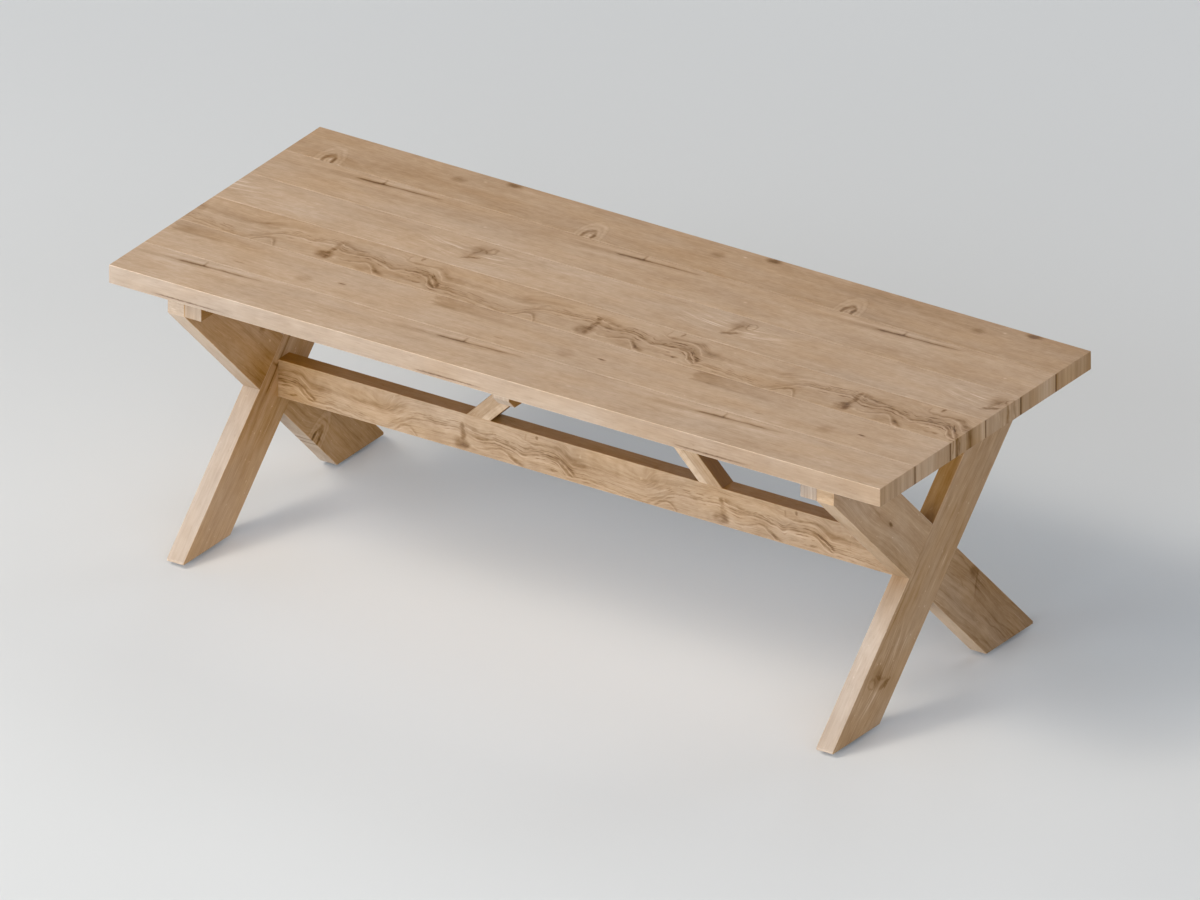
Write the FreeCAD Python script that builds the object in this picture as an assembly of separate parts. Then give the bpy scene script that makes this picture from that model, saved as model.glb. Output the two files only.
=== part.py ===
import FreeCAD, Part
import math
import os

# A sawbuck dining table. Six planks lie on three battens, two X-shaped trestles carry them, a
# stretcher ties the trestles together at their crossings, and two braces rise from the stretcher
# to the middle batten.
# Millimetres and degrees. +X runs along the top, +Y across it and +Z up. The origin is on the floor
# under the middle of the top. Left is -X, right is +X, front is -Y and back is +Y.

# Table top
table_length = 2200.0
table_height = 760.0
plank_count = 6
plank_width = 150.0
plank_thickness = 48.0
plank_gap = 0.5

# Trestles
end_overhang = 150.0        # from an end of the top to the outer face of the trestle there
side_inset = 26.25          # from a long edge of the top to the plumb cuts of the legs
leg_width = 146.0
leg_thickness = 48.0
toe_height = 7.0            # plumb cut that blunts the point of a foot
toe_reach = 3.0             # how far a toe stands out past the plumb cut at the top of a leg
lap_clearance = 0.1         # on each side of a leg where it crosses the other one

# Battens
batten_width = 48.0
batten_depth = 48.0
centre_batten_chamfer = 25.0

# Stretcher and its stub tenons
stretcher_thickness = 48.0
stretcher_height = 98.0
tenon_side_shoulder = 12.0
tenon_edge_shoulder = 19.0
tenon_cover = 12.0          # wood between a tenon's end and the outer face of the trestle
tenon_clearance = 0.1       # round the tenon
mortise_end_room = 2.0      # past the tenon's end, for spare glue

# Braces and their dowels
brace_thickness = 48.0
brace_depth = 48.0
brace_angle = 45.0          # up from level
dowel_diameter = 10.0
dowel_grip = 20.0           # length of dowel in each piece of wood
dowel_spacing = 26.0
dowel_chamfer = 1.0
dowel_clearance = 0.05
dowel_end_room = 1.0

# Countersunk screws that hold the planks and the legs to the battens
screw_diameter = 5.0
screw_head_diameter = 10.0
screw_head_height = 3.0
screw_point = 7.0
screw_clearance = 0.1
screw_end_room = 1.0
plank_screw_cover = 16.0    # wood between a screw's point and the face of the top
leg_screw_cover = 16.0      # wood between a screw's point and the outer face of a leg
leg_screw_outward = 24.0    # from the outer plank's screw towards the end of the batten
leg_screw_inward = 76.0     # from the outer plank's screw towards the middle of the batten

# Glides under the feet
glide_height = 10.0
glide_diameter = 28.0
glide_chamfer = 2.0
glide_seat = 4.5            # from the floor to the shoulder that the screw's head bears on
glide_screw_diameter = 4.0
glide_screw_head_diameter = 8.0
glide_screw_head_height = 2.5
glide_screw_length = 30.0
glide_screw_point = 5.0
glide_head_clearance = 0.5

# Cross-shaped driver recess in the screw heads
recess_length = 4.8
recess_width = 1.0
recess_depth = 1.6

# All timber has its sharp edges eased
edge_ease = 1.0

# How far a cutting shape runs past the face that it opens
cut_past = 1.0

# Largest sine of the angle between two directions that count as parallel
parallel_limit = 1e-6

V = FreeCAD.Vector
UP = V(0, 0, 1)
LEFT_SIDE, RIGHT_SIDE = -1, 1
FRONT, BACK = -1, 1
SIDE_NAMES = {LEFT_SIDE: "left", RIGHT_SIDE: "right"}
FOOT_NAMES = {FRONT: "front", BACK: "back"}

# Heights
foot_level = glide_height
underside = table_height - plank_thickness
batten_bottom = underside - batten_depth
batten_middle = underside - batten_depth / 2
toe_top = foot_level + toe_height

# Places along the table
trestle_outer = table_length / 2 - end_overhang
trestle_inner = trestle_outer - leg_thickness
trestle_middle = trestle_outer - leg_thickness / 2
end_batten_inner = trestle_inner - batten_width
end_batten_middle = trestle_inner - batten_width / 2

# Places across the table
plank_pitch = plank_width + plank_gap
table_width = plank_count * plank_pitch - plank_gap
plank_centres = [(n - (plank_count - 1) / 2) * plank_pitch for n in range(plank_count)]
trestle_half = table_width / 2 - side_inset

# Slope of a leg: one edge starts at the top of its toe, and the other ends at the bottom corner of the
# batten on the far side
toe_place = trestle_half + toe_reach
corner_rise = batten_bottom - toe_top
corner_run = trestle_half + toe_place
corner_slope = math.atan2(corner_rise, corner_run)
leg_turn = corner_slope + math.asin(leg_width / math.hypot(corner_run, corner_rise))
leg_angle = math.degrees(leg_turn)
leg_slope = math.tan(leg_turn)
foot_inner = (batten_bottom - foot_level) / leg_slope - trestle_half
foot_middle = (toe_place + foot_inner) / 2
crossing_level = (toe_top + batten_bottom + toe_reach * leg_slope) / 2
stretcher_top = crossing_level + stretcher_height / 2

# Joints of the stretcher
tenon_length = leg_thickness - tenon_cover
tenon_half_thickness = stretcher_thickness / 2 - tenon_side_shoulder
tenon_half_height = stretcher_height / 2 - tenon_edge_shoulder

# Foot of a brace on the stretcher
brace_run = math.radians(brace_angle)
brace_foot_inner = batten_width / 2 + (batten_bottom - stretcher_top) / math.tan(brace_run)
brace_foot_middle = brace_foot_inner + brace_depth / math.sin(brace_run) / 2

# Lengths of the screws
plank_screw_length = batten_depth + plank_thickness - plank_screw_cover
leg_screw_length = batten_width + leg_thickness - leg_screw_cover


def block(x_ends, y_ends, z_ends):
    """Box between two values on each axis, given in either order."""
    low = V(min(x_ends), min(y_ends), min(z_ends))
    high = V(max(x_ends), max(y_ends), max(z_ends))
    size = high - low
    return Part.makeBox(size.x, size.y, size.z, low)


def prism(outline, push):
    """Solid made by pushing a closed flat outline along a vector."""
    return Part.Face(Part.makePolygon(outline + outline[:1])).extrude(push)


def turned(outline):
    """Solid of revolution about Z from (radius, height) points."""
    points = [V(radius, 0, height) for radius, height in outline]
    face = Part.Face(Part.makePolygon(points + points[:1]))
    return face.revolve(V(0, 0, 0), UP, 360).Solids[0]


def runs_along(edge, direction):
    """Whether a straight edge is parallel to a unit vector."""
    return edge.tangentAt(edge.FirstParameter).cross(direction).Length < parallel_limit


def eased(solid, along=None):
    """Timber with its edges eased: all of them, or only those that run along a direction."""
    edges = solid.Edges
    if along is not None:
        edges = [edge for edge in edges if runs_along(edge, along)]
    return solid.makeChamfer(edge_ease, edges)


def placed(shape, spot, direction=UP):
    """Copy of a shape made along +Z, moved to a spot and pointed in a direction."""
    copy = shape.copy()
    copy.Placement = FreeCAD.Placement(spot, FreeCAD.Rotation(UP, direction))
    return copy


def drilled(solid, drill, spots, direction=UP):
    """Timber with the same hole drilled at each spot."""
    for spot in spots:
        solid = solid.cut(placed(drill, spot, direction))
    return solid


# Fasteners and the holes they sit in

def cross_recess(face_level):
    """Cutting shape for the driver recess in a head whose face is at the given level."""
    slot_ends = (-recess_length / 2, recess_length / 2)
    slot_sides = (-recess_width / 2, recess_width / 2)
    depth = (face_level - cut_past, face_level + recess_depth)
    return block(slot_ends, slot_sides, depth).fuse(block(slot_sides, slot_ends, depth))


def countersunk_screw(length):
    """Screw along +Z, with the face of its head at zero."""
    outline = [
        (0, 0),
        (screw_head_diameter / 2, 0),
        (screw_diameter / 2, screw_head_height),
        (screw_diameter / 2, length - screw_point),
        (0, length),
    ]
    return turned(outline).cut(cross_recess(0))


def countersunk_hole(length):
    """Hole along +Z for a countersunk screw, open at zero."""
    head_radius = screw_head_diameter / 2 + screw_clearance
    radius = screw_diameter / 2 + screw_clearance
    end = length + screw_end_room
    outline = [
        (0, -cut_past),
        (head_radius, -cut_past),
        (head_radius, 0),
        (radius, screw_head_height),
        (radius, end),
        (0, end),
    ]
    return turned(outline)


def glide_screw():
    """Pan-head screw along +Z from the floor, with the underside of its head on the glide's seat."""
    face_level = glide_seat - glide_screw_head_height
    outline = [
        (0, face_level),
        (glide_screw_head_diameter / 2, face_level),
        (glide_screw_head_diameter / 2, glide_seat),
        (glide_screw_diameter / 2, glide_seat),
        (glide_screw_diameter / 2, glide_seat + glide_screw_length - glide_screw_point),
        (0, glide_seat + glide_screw_length),
    ]
    return turned(outline).cut(cross_recess(face_level))


def glide_pilot():
    """Blind hole along +Z from the floor for a glide's screw."""
    return Part.makeCylinder(
        glide_screw_diameter / 2 + screw_clearance,
        glide_seat + glide_screw_length + screw_end_room,
    )


def dowel(length):
    """Dowel centred on zero along Z, with chamfered ends."""
    radius = dowel_diameter / 2
    end = length / 2
    outline = [
        (0, -end),
        (radius - dowel_chamfer, -end),
        (radius, dowel_chamfer - end),
        (radius, end - dowel_chamfer),
        (radius - dowel_chamfer, end),
        (0, end),
    ]
    return turned(outline)


def dowel_hole(length):
    """Hole for a dowel, centred on zero along Z, with room at both ends."""
    full_length = length + 2 * dowel_end_room
    return Part.makeCylinder(dowel_diameter / 2 + dowel_clearance, full_length, V(0, 0, -full_length / 2))


def plank_screw_spots(batten_x):
    """Heads of the screws that hold each plank to the batten at one place along the table."""
    return [V(batten_x, y, batten_bottom) for y in plank_centres]


def leg_screw_spots(side):
    """Heads of the screws that hold one trestle's legs to its batten."""
    outer_screw = max(plank_centres)
    places = (outer_screw + leg_screw_outward, outer_screw - leg_screw_inward)
    return [V(side * end_batten_inner, end * y, batten_middle) for end in (FRONT, BACK) for y in places]


def foot_dowel_spots(side):
    """Middles of the dowels between one brace and the stretcher."""
    return [V(side * brace_foot_middle, end * dowel_spacing / 2, stretcher_top) for end in (FRONT, BACK)]


def head_dowel_spots():
    """Middles of the dowels that run through the centre batten into both braces."""
    return [V(0, end * dowel_spacing / 2, batten_middle) for end in (FRONT, BACK)]


foot_dowel_length = 2 * dowel_grip
head_dowel_length = batten_width + 2 * dowel_grip
plank_hole = countersunk_hole(plank_screw_length)
leg_hole = countersunk_hole(leg_screw_length)
foot_dowel_hole = dowel_hole(foot_dowel_length)
head_dowel_hole = dowel_hole(head_dowel_length)
along_x = V(1, 0, 0)


# Timber

def top_plank(centre):
    """Plank of the top, drilled from below over each batten."""
    ends = (-table_length / 2, table_length / 2)
    sides = (centre - plank_width / 2, centre + plank_width / 2)
    plank = eased(block(ends, sides, (underside, table_height)))
    spots = [V(x, centre, batten_bottom) for x in (-end_batten_middle, 0, end_batten_middle)]
    return drilled(plank, plank_hole, spots)


def end_batten(side):
    """Square-ended batten inside one trestle, under the planks."""
    batten = eased(block(
        (side * end_batten_inner, side * trestle_inner),
        (-trestle_half, trestle_half),
        (batten_bottom, underside),
    ))
    batten = drilled(batten, plank_hole, plank_screw_spots(side * end_batten_middle))
    return drilled(batten, leg_hole, leg_screw_spots(side), side * along_x)


def centre_batten():
    """Batten across the middle of the top, with its ends cut back below."""
    start = -batten_width / 2
    chamfer_top = batten_bottom + centre_batten_chamfer
    flat_end = trestle_half - centre_batten_chamfer
    outline = [
        V(start, -trestle_half, underside),
        V(start, trestle_half, underside),
        V(start, trestle_half, chamfer_top),
        V(start, flat_end, batten_bottom),
        V(start, -flat_end, batten_bottom),
        V(start, -trestle_half, chamfer_top),
    ]
    batten = eased(prism(outline, V(batten_width, 0, 0)))
    batten = drilled(batten, plank_hole, plank_screw_spots(0))
    return drilled(batten, head_dowel_hole, head_dowel_spots(), along_x)


def mortise(side):
    """Cutting shape for the stretcher's tenon in one trestle."""
    half_thickness = tenon_half_thickness + tenon_clearance
    half_height = tenon_half_height + tenon_clearance
    return block(
        (side * (trestle_inner - cut_past), side * (trestle_inner + tenon_length + mortise_end_room)),
        (-half_thickness, half_thickness),
        (crossing_level - half_height, crossing_level + half_height),
    )


def lap_notch(side, foot):
    """Cutting shape for half the thickness of a leg, where the other leg of its trestle crosses it."""
    half_width = leg_width / 2 + lap_clearance
    half_depth = foot * (leg_thickness / 2 + cut_past)
    notch = block((0, half_depth), (-leg_width, leg_width), (-half_width, half_width))
    notch.rotate(V(0, 0, 0), along_x, foot * leg_angle)
    notch.translate(V(side * trestle_middle, 0, crossing_level))
    return notch


def leg(side, foot):
    """Leg that stands at one side and at the front or the back, and rises to the far corner."""
    start = side * trestle_middle - leg_thickness / 2
    upper_end = (underside - toe_top) / leg_slope - toe_place
    outline = [
        V(start, foot * toe_place, foot_level),
        V(start, foot * toe_place, toe_top),
        V(start, foot * -upper_end, underside),
        V(start, foot * -trestle_half, underside),
        V(start, foot * -trestle_half, batten_bottom),
        V(start, foot * foot_inner, foot_level),
    ]
    timber = eased(prism(outline, V(leg_thickness, 0, 0)))
    timber = timber.cut(lap_notch(side, foot)).cut(mortise(side))
    timber = drilled(timber, leg_hole, leg_screw_spots(side), side * along_x)
    return drilled(timber, glide_pilot(), [glide_spot(side, foot)])


def stretcher():
    """Rail on edge between the trestles, with a stub tenon at each end."""
    thickness = (-stretcher_thickness / 2, stretcher_thickness / 2)
    height = (stretcher_top - stretcher_height, stretcher_top)
    rail = eased(block((-trestle_inner, trestle_inner), thickness, height), along_x)
    tenon_end = trestle_inner + tenon_length
    tenons = block(
        (-tenon_end, tenon_end),
        (-tenon_half_thickness, tenon_half_thickness),
        (crossing_level - tenon_half_height, crossing_level + tenon_half_height),
    )
    rail = rail.fuse(tenons).removeSplitter()
    spots = foot_dowel_spots(LEFT_SIDE) + foot_dowel_spots(RIGHT_SIDE)
    return drilled(rail, foot_dowel_hole, spots)


def brace(side):
    """Slanted brace from the stretcher up to the centre batten and the planks."""
    front = -brace_thickness / 2
    reach = trestle_inner
    slope = V(side * math.cos(brace_run), 0, -math.sin(brace_run))
    across = V(side * math.sin(brace_run), 0, math.cos(brace_run)) * brace_depth
    corner = V(side * batten_width / 2, front, batten_bottom)
    lower_ends = (corner - slope * reach, corner + slope * reach)
    outline = [lower_ends[0], lower_ends[1], lower_ends[1] + across, lower_ends[0] + across]
    bar = prism(outline, V(0, brace_thickness, 0))
    room = block(
        (side * batten_width / 2, side * reach),
        (front, -front),
        (stretcher_top, underside),
    )
    timber = eased(bar.common(room).Solids[0], slope)
    timber = drilled(timber, foot_dowel_hole, foot_dowel_spots(side))
    return drilled(timber, head_dowel_hole, head_dowel_spots(), along_x)


# Glides

def glide_spot(side, foot):
    """Point on the floor under the middle of a foot."""
    return V(side * trestle_middle, foot * foot_middle, 0)


def foot_glide():
    """Round glide on the floor, with a deep seat for its screw."""
    seat_radius = glide_screw_head_diameter / 2 + glide_head_clearance
    hole_radius = glide_screw_diameter / 2 + screw_clearance
    outline = [
        (seat_radius, 0),
        (glide_diameter / 2 - glide_chamfer, 0),
        (glide_diameter / 2, glide_chamfer),
        (glide_diameter / 2, glide_height),
        (hole_radius, glide_height),
        (hole_radius, glide_seat),
        (seat_radius, glide_seat),
    ]
    return turned(outline)


# Assembly

def all_nodes():
    """Every node of the table by name, each as a list of solids."""
    nodes = {}
    for number, centre in enumerate(plank_centres, start=1):
        nodes[f"top_plank_{number}"] = [top_plank(centre)]
    nodes["centre_batten"] = [centre_batten()]
    nodes["stretcher"] = [stretcher()]
    nodes["plank_screws"] = []
    nodes["leg_screws"] = []
    nodes["glide_screws"] = []
    nodes["brace_foot_dowels"] = []
    for side, side_name in SIDE_NAMES.items():
        nodes[f"end_batten_{side_name}"] = [end_batten(side)]
        nodes[f"brace_{side_name}"] = [brace(side)]
        screw = countersunk_screw(leg_screw_length)
        nodes["leg_screws"] += [placed(screw, spot, side * along_x) for spot in leg_screw_spots(side)]
        peg = dowel(foot_dowel_length)
        nodes["brace_foot_dowels"] += [placed(peg, spot) for spot in foot_dowel_spots(side)]
        for foot, foot_name in FOOT_NAMES.items():
            spot = glide_spot(side, foot)
            nodes[f"leg_{side_name}_{foot_name}"] = [leg(side, foot)]
            nodes[f"foot_glide_{side_name}_{foot_name}"] = [placed(foot_glide(), spot)]
            nodes["glide_screws"].append(placed(glide_screw(), spot))
    for batten_x in (-end_batten_middle, 0, end_batten_middle):
        screw = countersunk_screw(plank_screw_length)
        nodes["plank_screws"] += [placed(screw, spot) for spot in plank_screw_spots(batten_x)]
    peg = dowel(head_dowel_length)
    nodes["brace_head_dowels"] = [placed(peg, spot, along_x) for spot in head_dowel_spots()]
    return nodes


def save(nodes):
    """Write each node to its own file and print what it holds."""
    os.makedirs("parts", exist_ok=True)
    for name, shapes in sorted(nodes.items()):
        solids = [solid for shape in shapes for solid in shape.Solids]
        shape = solids[0] if len(solids) == 1 else Part.makeCompound(solids)
        shape.exportStep(f"parts/{name}.step")
        state = "valid" if shape.isValid() else "NOT VALID"
        print(f"{name}: {len(solids)} solids, {shape.Volume / 1000:.1f} cm3, {state}")


print(f"top {table_length:.0f} x {table_width:.1f}, height {table_height:.0f}")
print(f"leg angle {leg_angle:.2f}, crossing {crossing_level:.1f}, screws {plank_screw_length:.0f}")
save(all_nodes())
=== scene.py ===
# %% [markdown]
# # A sawbuck table
# This lesson dresses a sawbuck table: six planks on two crossed trestles, tied by a stretcher.
# The joiner's model already has every board at its true size, so nothing is modelled twice here.
# What is left to make is the wood itself, the floor, the light and the camera.

# %% Load the table
import math

import bpy
from mathutils import Matrix, Vector


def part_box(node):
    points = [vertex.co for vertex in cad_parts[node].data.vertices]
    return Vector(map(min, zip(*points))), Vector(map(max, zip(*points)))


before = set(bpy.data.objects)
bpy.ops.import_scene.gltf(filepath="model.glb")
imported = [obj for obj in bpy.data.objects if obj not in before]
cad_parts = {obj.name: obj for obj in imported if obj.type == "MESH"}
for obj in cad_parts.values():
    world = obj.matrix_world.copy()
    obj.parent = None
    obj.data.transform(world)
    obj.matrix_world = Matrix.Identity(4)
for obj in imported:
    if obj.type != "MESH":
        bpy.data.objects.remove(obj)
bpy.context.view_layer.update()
bpy.ops.object.select_all(action="DESELECT")
print("boards and fittings:", len(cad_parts))

# %% [markdown]
# ## Where the picture is taken from
# The edges of the table stay parallel in the picture, so the camera is orthographic.
# It looks from the front right and from above. Its scale is the width of floor that the picture spans,
# found from the known length of the top. With parallel rays its distance changes nothing in the picture.

# %% Camera
view_direction = Vector((4.0, -6.0, 3.5)).normalized()
view_centre = Vector((0.0, 0.0, 0.385))
view_width = 2.8477
view_distance = 9.0
view_depth = 40.0

bpy.ops.object.camera_add(location=view_centre + view_direction * view_distance)
camera = bpy.context.object
camera.name = "camera"
camera.rotation_euler = view_direction.to_track_quat("Z", "Y").to_euler()
camera.data.type = "ORTHO"
camera.data.ortho_scale = view_width
camera.data.clip_end = view_depth
bpy.context.scene.camera = camera
bpy.context.scene.view_settings.view_transform = "Standard"
print("camera at", [round(value, 2) for value in camera.location])

# %% [markdown]
# ## A short way to write node sums
# A wood pattern is a sum of many small terms. In the node editor each term is a Math node.
# Wiring them one by one hides the idea, so two helpers come first:
# `feed` fills one input, and `put` adds a node with all its settings and inputs.

# %% Wiring helpers
def feed(tree, socket, value):
    """Links an amount or a socket to a node's input, or sets a plain value there."""
    if isinstance(value, Amount):
        value = value.socket
    if isinstance(value, bpy.types.NodeSocket):
        tree.links.new(value, socket)
    else:
        socket.default_value = value


def put(tree, kind, inputs=None, **settings):
    """Adds a node, with its settings and its inputs by name or number."""
    node = tree.nodes.new(kind)
    for name, value in settings.items():
        setattr(node, name, value)
    for key, value in (inputs or {}).items():
        feed(tree, node.inputs[key], value)
    return node

# %% [markdown]
# `Amount` wraps a node socket: adding or multiplying two amounts adds the Math node and its links.
# Three shapes come back all through the wood: `fade` is a soft step, `hump` is a bell curve,
# and `keeping` turns a mask round, so that something is weaker where the mask is full.

# %% Amounts
class Amount:
    """A number that varies over the wood."""

    def __init__(self, tree, socket):
        self.tree = tree
        self.socket = socket

    def calc(self, operation, *others):
        """Adds a Math node that starts from this amount."""
        inputs = dict(enumerate((self, *others)))
        node = put(self.tree, "ShaderNodeMath", inputs, operation=operation)
        return Amount(self.tree, node.outputs[0])

    def __add__(self, other):
        return self.calc("ADD", other)

    def __sub__(self, other):
        return self.calc("SUBTRACT", other)

    def __mul__(self, other):
        return self.calc("MULTIPLY", other)

    def __truediv__(self, other):
        return self.calc("DIVIDE", other)

    def __neg__(self):
        return self * -1.0

    def size(self):
        """The amount without its sign."""
        return self.calc("ABSOLUTE")

    def fade(self, full, gone):
        """1 where the amount is at full, 0 where it is at gone, and smooth between."""
        node = put(self.tree, "ShaderNodeMapRange",
                   {"Value": self, "From Min": full, "From Max": gone, "To Min": 1.0, "To Max": 0.0},
                   interpolation_type="SMOOTHSTEP")
        return Amount(self.tree, node.outputs["Result"])

    def hump(self, width):
        """A bell curve, 1 at zero and almost gone at twice the width."""
        scaled = self / width
        return (scaled * scaled * -1.0).calc("EXPONENT")

    def keeping(self, share):
        """For a mask: 1 where it is 0, and only a share where it is 1."""
        return self * (share - 1.0) + 1.0


def total(amounts):
    """The sum of a list of amounts."""
    result = amounts[0]
    for amount in amounts[1:]:
        result = result + amount
    return result

# %% [markdown]
# Nearly everything in wood is a noise that is stretched along the board.
# The noise node takes one scale for all directions, so the place is stretched before it goes in.

# %% Stretched noise
def noise(x, y, z, stretch, detail=2.0, roughness=0.5):
    """Cloudy noise between -0.5 and 0.5, with its own pitch along, across and into the board."""
    tree = x.tree
    inputs = {"X": x * stretch[0], "Y": y * stretch[1], "Z": z * stretch[2]}
    place = put(tree, "ShaderNodeCombineXYZ", inputs)
    node = put(tree, "ShaderNodeTexNoise",
               {"Vector": place.outputs[0], "Scale": 1.0, "Detail": detail, "Roughness": roughness})
    return Amount(tree, node.outputs[0]) - 0.5


def colour_ramp(tree, amount, tones):
    """A colour ramp over a list of (position, colour) pairs."""
    node = put(tree, "ShaderNodeValToRGB", {"Fac": amount})
    elements = node.color_ramp.elements
    while len(elements) < len(tones):
        elements.new(0.5)
    for element, (position, colour) in zip(elements, tones):
        element.position = position
        element.color = (*colour, 1.0)
    return node

# %% [markdown]
# ## Floor
# The table stands on one pale floor without a wall: it simply runs out of the picture.
# A curved backdrop would do as well, but from this high up a large plane is enough.
# Its colour drifts a little, as a painted studio floor does.

# %% Floor
floor_size = 16.0
floor_tones = ((0.0, (0.70, 0.70, 0.69)), (1.0, (0.74, 0.74, 0.73)))
floor_clouds_scale = 0.6
floor_roughness = 0.9
floor_shine = 0.1

bpy.ops.mesh.primitive_plane_add(size=floor_size)
floor = bpy.context.object
floor.name = "floor"

floor_paint = bpy.data.materials.new("pale studio floor")
floor_paint.use_nodes = True
floor_tree = floor_paint.node_tree
floor_shader = floor_tree.nodes["Principled BSDF"]
floor_place = put(floor_tree, "ShaderNodeTexCoord")
floor_clouds = put(floor_tree, "ShaderNodeTexNoise",
                   {"Vector": floor_place.outputs["Object"], "Scale": floor_clouds_scale, "Detail": 1.0})
floor_colour = colour_ramp(floor_tree, floor_clouds.outputs[0], floor_tones)
feed(floor_tree, floor_shader.inputs["Base Color"], floor_colour.outputs[0])
floor_shader.inputs["Roughness"].default_value = floor_roughness
floor_shader.inputs["Specular IOR Level"].default_value = floor_shine
floor.data.materials.append(floor_paint)
print("floor:", floor_size, "m square")

# %% [markdown]
# ## Light
# The shadow of the top falls to the back right, so the main lamp stands at the front left, half way up.
# Its shadow has a crisp core and a wide soft rim: a small lamp inside a large warm panel gives both.
# The upright faces are as bright as the top, yet they throw hardly any shadow of their own.
# Low panels all round do that, because light that skims the floor leaves little on it.
# They are cool, so the shadow that they fill turns slightly blue. Higher panels even out the rest.

# %% Lamps
lamp_distance = 12.0
from_front_left = (-0.58, -0.65, 1.0)


def softbox(name, direction, width, height, strength, colour):
    """A flat lamp that looks at the table. Strength 1 alone would show a facing colour as written."""
    away = Vector(direction).normalized()
    bpy.ops.object.light_add(type="AREA", location=view_centre + away * lamp_distance)
    lamp = bpy.context.object
    lamp.name = name
    lamp.rotation_euler = away.to_track_quat("Z", "Y").to_euler()
    lamp.data.shape = "RECTANGLE"
    lamp.data.size = width
    lamp.data.size_y = height
    lamp.data.energy = strength * math.pi ** 2 * lamp_distance ** 2
    lamp.data.color = colour
    return lamp


lamps = (
    softbox("key_lamp", from_front_left, 2.6, 2.6, 0.198, (1.06, 1.0, 0.88)),
    softbox("key_panel", from_front_left, 7.5, 7.5, 0.293, (1.12, 1.0, 0.90)),
    softbox("front_high_panel", (-0.1, -1.0, 0.9), 9.6, 9.6, 0.155, (1.05, 1.0, 0.92)),
    softbox("front_low_panel", (-0.2, -1.0, 0.12), 14.0, 3.0, 0.88, (0.87, 1.0, 1.08)),
    softbox("front_right_panel", (0.3, -1.0, 0.4), 12.0, 6.0, 0.397, (0.92, 1.0, 1.15)),
    softbox("back_low_panel", (0.0, 1.0, 0.2), 14.0, 3.0, 0.52, (0.91, 1.0, 1.13)),
    softbox("back_high_panel", (0.0, 1.0, 1.1), 12.0, 6.0, 0.151, (1.0, 1.0, 0.95)),
    softbox("left_panel", (-1.0, 0.0, 0.2), 14.0, 3.0, 0.235, (0.79, 1.0, 1.30)),
    softbox("right_panel", (1.0, -0.4, 0.5), 10.0, 6.0, 0.202, (0.95, 1.0, 1.09)),
)
print("lamps:", [lamp.name for lamp in lamps])

# %% Sky
sky_colour = (1.0, 0.94, 0.90, 1.0)
sky_strength = 0.006

sky = bpy.data.worlds.new("studio sky")
bpy.context.scene.world = sky
sky.use_nodes = True
sky_light = sky.node_tree.nodes["Background"]
sky_light.inputs["Color"].default_value = sky_colour
sky_light.inputs["Strength"].default_value = sky_strength
print("sky strength:", sky_strength)

# %% [markdown]
# ## Planed timber
# Every board is the same light brown, planed wood: long soft streaks, fine grain lines and a few short pores.
# It could be a picture on each face, but then the faces of one board would not agree at its edges.
# Here the wood fills space, as it does in a tree: the streaks are sheets that run along the board,
# so a wide face shows long lines, a narrow face is nearly plain and an end shows upright stripes.
# A Mapping node turns the object's coordinates into the board's own directions.

# %% A board and its own directions
squarely = 0.95
end_slant = 0.35
narrow_slant = 0.5
cut_gain = 4.0
seed_along = 3.7
seed_deep = 0.9


class Board:
    """One board's material, its directions (along x, across y, deep z) and the marks drawn on it."""

    def __init__(self, name, centre, turn, half_width, half_thick, seed):
        self.name = name
        self.half_width = half_width
        self.half_thick = half_thick
        self.seed = seed
        self.material = bpy.data.materials.new(name + " wood")
        self.material.use_nodes = True
        self.tree = self.material.node_tree
        place = put(self.tree, "ShaderNodeTexCoord")
        local = put(self.tree, "ShaderNodeMapping",
                    {"Vector": place.outputs["Object"], "Location": centre, "Rotation": turn.to_euler()},
                    vector_type="TEXTURE")
        parts = put(self.tree, "ShaderNodeSeparateXYZ", {0: local.outputs[0]})
        self.x, self.y, self.z = (Amount(self.tree, part) for part in parts.outputs)
        normal = place.outputs["Normal"]
        self.end = self.facing(normal, turn.col[0]).fade(squarely, end_slant)
        self.narrow = self.facing(normal, turn.col[1]).fade(squarely, narrow_slant)
        self.cut = self.end * self.narrow * cut_gain
        self.dark = []
        self.pale = []
        self.bend = []
        self.tint = []

    def facing(self, normal, direction):
        """How squarely the surface faces one of the board's directions."""
        node = put(self.tree, "ShaderNodeVectorMath", {0: normal, 1: direction}, operation="DOT_PRODUCT")
        return Amount(self.tree, node.outputs["Value"]).size()

    def noise(self, stretch, detail=2.0, shift=0.0):
        """Cloudy noise of this board alone."""
        along = self.x + (self.seed * seed_along + shift)
        return noise(along, self.y, self.z + self.seed * seed_deep, stretch, detail)

    def worn(self, stretch, shift, swing, level):
        """Noise around a level, which breaks a line up into stronger and weaker lengths."""
        return self.noise(stretch, 2.0, shift) * swing + level

# %% [markdown]
# ### Grain
# Planed wood shows lines of many sizes at once, from drifts as wide as the board to pores like pin pricks.
# One noise with much detail would look like stone, because its lines keep the same shape at every size.
# So each size has a noise of its own. A row gives its pitch along, across and into the board,
# then its detail and roughness. The grain bends around the marks, and runs straight into an end.

# %% Grain
grain_pitches = {
    "broad": ((1.2, 12.0, 7.0), 2.0, 0.5),
    "cloud": ((6.0, 17.0, 12.0), 3.0, 0.5),
    "mottle": ((26.0, 50.0, 40.0), 2.0, 0.5),
    "speck": ((48.0, 150.0, 130.0), 2.0, 0.5),
    "streak": ((3.5, 75.0, 30.0), 3.0, 0.6),
    "fine": ((18.0, 420.0, 240.0), 2.0, 0.6),
    "pore": ((55.0, 1300.0, 300.0), 1.0, 0.5),
    "dash": ((9.0, 260.0, 160.0), 1.0, 0.5),
    "fleck": ((75.0, 170.0, 90.0), 1.0, 0.5),
}
sway_pitch = (3.0, 9.0, 9.0)
end_depth = 0.05


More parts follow.
